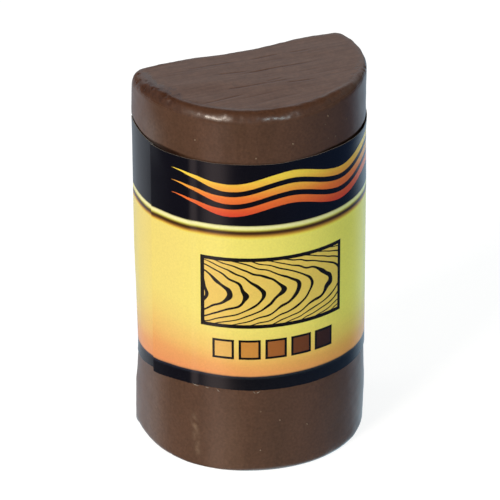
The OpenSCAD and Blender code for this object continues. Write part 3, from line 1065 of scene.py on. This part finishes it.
def aim(azimuth, elevation=0):
    """Unit vector towards a direction in degrees: azimuth 0 is in front, at -Y, and 90 to the right."""
    azimuth, elevation = math.radians(azimuth), math.radians(elevation)
    return Vector((
        math.sin(azimuth) * math.cos(elevation),
        -math.cos(azimuth) * math.cos(elevation),
        math.sin(elevation),
    ))


def add_lamp(name, power):
    """A soft lamp from the table that faces the middle of the stick."""
    azimuth, elevation, distance, width, height, tint = LAMPS[name]
    data = bpy.data.lights.new(name, "AREA")
    data.shape = "RECTANGLE"
    data.size = width
    data.size_y = height
    data.energy = power
    data.color = linear(tint)
    lamp = bpy.data.objects.new(name, data)
    direction = aim(azimuth, elevation)
    lamp.location = direction * distance + Vector((0, 0, BAR_H / 2))
    lamp.rotation_mode = "QUATERNION"
    lamp.rotation_quaternion = direction.to_track_quat("Z", "Y")
    lamp.visible_glossy = name not in UNSEEN
    bpy.context.scene.collection.objects.link(lamp)


def floor_board(card, beyond):
    """White card on a grey floor: white to the eye, with the stick's soft shadow.

    Mirrored, it is only the faint glow of the card over what the world holds below the horizon: brighter in
    a stripe towards the key lamp and in a pale line along the round foot, and dark under the stick.
    """
    material = bpy.data.materials.new("backdrop board, white")
    tree = new_tree(material)
    ray = add(tree, "LightPath", out=None)
    to_eye = ray.outputs["Is Camera Ray"]
    place = add(tree, "TexCoord", out="Object")
    reach = add(tree, "VectorMath", {0: place}, operation="LENGTH", out="Value")
    far = add(tree, "MapRange", {"Value": reach, 1: CARD_EDGE[0] * MM, 2: CARD_EDGE[1] * MM})
    tone = card
    for share, other in ((far, beyond), (to_eye, SEEN_TONE)):
        tone = add(tree, "Mix", {MIX_FACTOR: share, MIX_A: tone, MIX_B: other},
                   data_type="RGBA", out=MIX_OUT)
    shade = add(tree, "BsdfDiffuse", {"Color": tone})
    strength = add(tree, "Math", {0: to_eye, 1: SEEN_WHITE}, operation="MULTIPLY")
    white = add(tree, "Emission", {"Color": (1, 1, 1), "Strength": strength})
    seen = add(tree, "AddShader", {0: shade, 1: white})
    # Stripe towards the key lamp, and the right-hand side
    way = add(tree, "VectorMath", {0: place}, operation="NORMALIZE")
    stripe = add(tree, "VectorMath", {0: way, 1: aim(-51)}, operation="DOT_PRODUCT", out="Value")
    stripe = add(tree, "MapRange", {"Value": stripe, 1: 0.94, 2: 0.997}, interpolation_type="SMOOTHSTEP")
    way_x = add(tree, "SeparateXYZ", {0: way})
    beside = add(tree, "MapRange", {"Value": way_x, 1: 0.3, 2: 1.0})
    # A pale line close to the foot of the round front, and darkness under the stick
    from_axis = add(tree, "VectorMath", {0: place, 1: (0, AXIS_Y, 0)}, operation="DISTANCE", out="Value")
    line = add(tree, "MapRange", {"Value": from_axis, 1: LINE_EDGE[0] * MM, 2: LINE_EDGE[1] * MM})
    for start, end in ((-0.9, -0.55), (0.98, 0.75)):
        in_front = add(tree, "MapRange", {"Value": way_x, 1: start, 2: end})
        line = add(tree, "Math", {0: line, 1: in_front}, operation="MULTIPLY")
    image = CARD_TONE
    for share, other in ((stripe, STRIPE_TONE), (beside, RIGHT_TONE), (line, LINE_TONE)):
        image = add(tree, "Mix", {MIX_FACTOR: share, MIX_A: image, MIX_B: other},
                    data_type="RGBA", out=MIX_OUT)
    near = add(tree, "MapRange", {
        "Value": reach, 1: GLOW_EDGE[0] * MM, 2: GLOW_EDGE[1] * MM, 3: 0.0, 4: GLOW})
    clear_of = add(tree, "MapRange", {"Value": from_axis, 1: DARK_EDGE[0] * MM, 2: DARK_EDGE[1] * MM})
    near = add(tree, "Math", {0: near, 1: clear_of}, operation="MULTIPLY")
    glow = add(tree, "Emission", {"Color": image, "Strength": near})
    mirrored = add(tree, "AddShader", {0: add(tree, "BsdfTransparent"), 1: glow})
    both = add(tree, "MixShader", {0: ray.outputs["Is Glossy Ray"], 1: seen, 2: mirrored})
    add(tree, "OutputMaterial", {"Surface": both}, out=None)
    return material


def studio_world():
    """A dim room with a dark ceiling and horizon, and a pale wall behind the stick.

    Below the horizon is what the stick mirrors of the floor, which the floor hides from all other light:
    dim in front, pale and faintly blue behind, and with a soft image of the key lamp.
    """
    world = bpy.data.worlds.new("studio")
    tree = new_tree(world)
    sky = add(tree, "TexCoord", out="Generated")
    x, _, z = add(tree, "SeparateXYZ", {0: sky}, out=None).outputs[:3]
    # How far each direction lies towards the pale wall, the rear floor and the key lamp's image
    shares = []
    for way, start, end, low, high in (
            (aim(156), 0.5, 0.78, 0.3, 0.87),
            (aim(170), 0.21, 0.68, 0, 1),
            (aim(-57, -28), 0.965, 0.998, 0, 1)):
        share = add(tree, "VectorMath", {0: sky, 1: way}, operation="DOT_PRODUCT", out="Value")
        shares.append(add(tree, "MapRange", {"Value": share, 1: start, 2: end, 3: low, 4: high},
                          interpolation_type="SMOOTHSTEP"))
    level, behind, image = shares
    room = add(tree, "Background", {"Color": add(tree, "ValToRGB", {0: z}, ROOM), "Strength": level})
    right = add(tree, "MapRange", {"Value": x, 1: -0.3, 2: 0.6})
    ground, rear = (
        add(tree, "Mix", {MIX_FACTOR: right, MIX_A: a, MIX_B: b}, data_type="RGBA", out=MIX_OUT)
        for a, b in (FRONT_FLOOR, REAR_FLOOR))
    for share, tone in ((behind, rear), (image, KEY_IMAGE)):
        ground = add(tree, "Mix", {MIX_FACTOR: share, MIX_A: ground, MIX_B: tone},
                     data_type="RGBA", out=MIX_OUT)
    mirrored = add(tree, "Background", {"Color": ground, "Strength": 1.0})
    below = add(tree, "Math", {0: z, 1: 0.0}, operation="LESS_THAN")
    both = add(tree, "MixShader", {0: below, 1: room, 2: mirrored})
    add(tree, "OutputWorld", {"Surface": both}, out=None)
    return world


class WAXSTICK_OT_stage(bpy.types.Operator):
    """Builds the floor, the lamps and the camera"""

    bl_idname = "waxstick.stage"
    bl_label = "Stage"

    def execute(self, context):
        scene = context.scene
        stage = scene.wax_stick_stage
        mesh = bpy.data.meshes.new("floor")
        square = np.array([(-1, -1, 0), (1, -1, 0), (1, 1, 0), (-1, 1, 0)]) * FLOOR_REACH
        mesh.from_pydata(square, [], [(0, 1, 2, 3)])
        mesh.materials.append(floor_board(stage.card, stage.beyond))
        floor = bpy.data.objects.new("floor", mesh)
        scene.collection.objects.link(floor)
        scene.world = studio_world()
        scene.view_settings.view_transform = "Standard"
        for name in LAMPS:
            add_lamp(name, getattr(stage, name + "_power"))
        data = bpy.data.cameras.new("camera")
        data.sensor_width = SENSOR
        data.lens = stage.lens
        camera = bpy.data.objects.new("camera", data)
        turn = Matrix.Rotation(stage.azimuth, 4, "Z")
        turn = turn @ Matrix.Rotation(math.pi / 2 - stage.elevation, 4, "X")
        right, up, back = (turn.col[i].to_3d() for i in range(3))
        middle = Vector((0, AXIS_Y, BAR_H / 2))
        place = middle + back * stage.distance + right * stage.aside + up * stage.above
        camera.matrix_world = Matrix.Translation(place) @ turn @ Matrix.Rotation(stage.roll, 4, "Z")
        scene.collection.objects.link(camera)
        scene.camera = camera
        return {"FINISHED"}


class WAXSTICK_PT_build(bpy.types.Panel):
    """Lists the pieces of the wax stick"""

    bl_idname = "WAXSTICK_PT_build"
    bl_label = "Wax Stick"
    bl_space_type = "VIEW_3D"
    bl_region_type = "UI"
    bl_category = "Wax Stick"

    def draw(self, context):
        for operator in OPERATORS:
            self.layout.operator(operator.bl_idname)
        for name, group in GROUPS.items():
            box = self.layout.box()
            box.label(text=group.__doc__)
            settings = getattr(context.scene, name)
            for key in group.__annotations__:
                box.prop(settings, key)


GROUPS = {
    "wax_stick_wax": WaxSettings,
    "wax_stick_label": LabelSettings,
    "wax_stick_print": PrintSettings,
    "wax_stick_stage": StageSettings,
}
OPERATORS = (WAXSTICK_OT_wax, WAXSTICK_OT_label, WAXSTICK_OT_crumbs, WAXSTICK_OT_stage)
CLASSES = (*GROUPS.values(), *OPERATORS, WAXSTICK_PT_build)


def register():
    """Registers the classes and hangs their settings on the scene."""
    for each in CLASSES:
        bpy.utils.register_class(each)
    for name, group in GROUPS.items():
        setattr(bpy.types.Scene, name, PointerProperty(type=group))


def unregister():
    """Takes the settings and the classes away again."""
    for name in GROUPS:
        delattr(bpy.types.Scene, name)
    for each in reversed(CLASSES):
        bpy.utils.unregister_class(each)


def main():
    """Builds every piece and the stage."""
    register()
    bpy.ops.waxstick.wax()
    bpy.ops.waxstick.label()
    bpy.ops.waxstick.crumbs()
    bpy.ops.waxstick.stage()


if __name__ == "__main__":
    main()
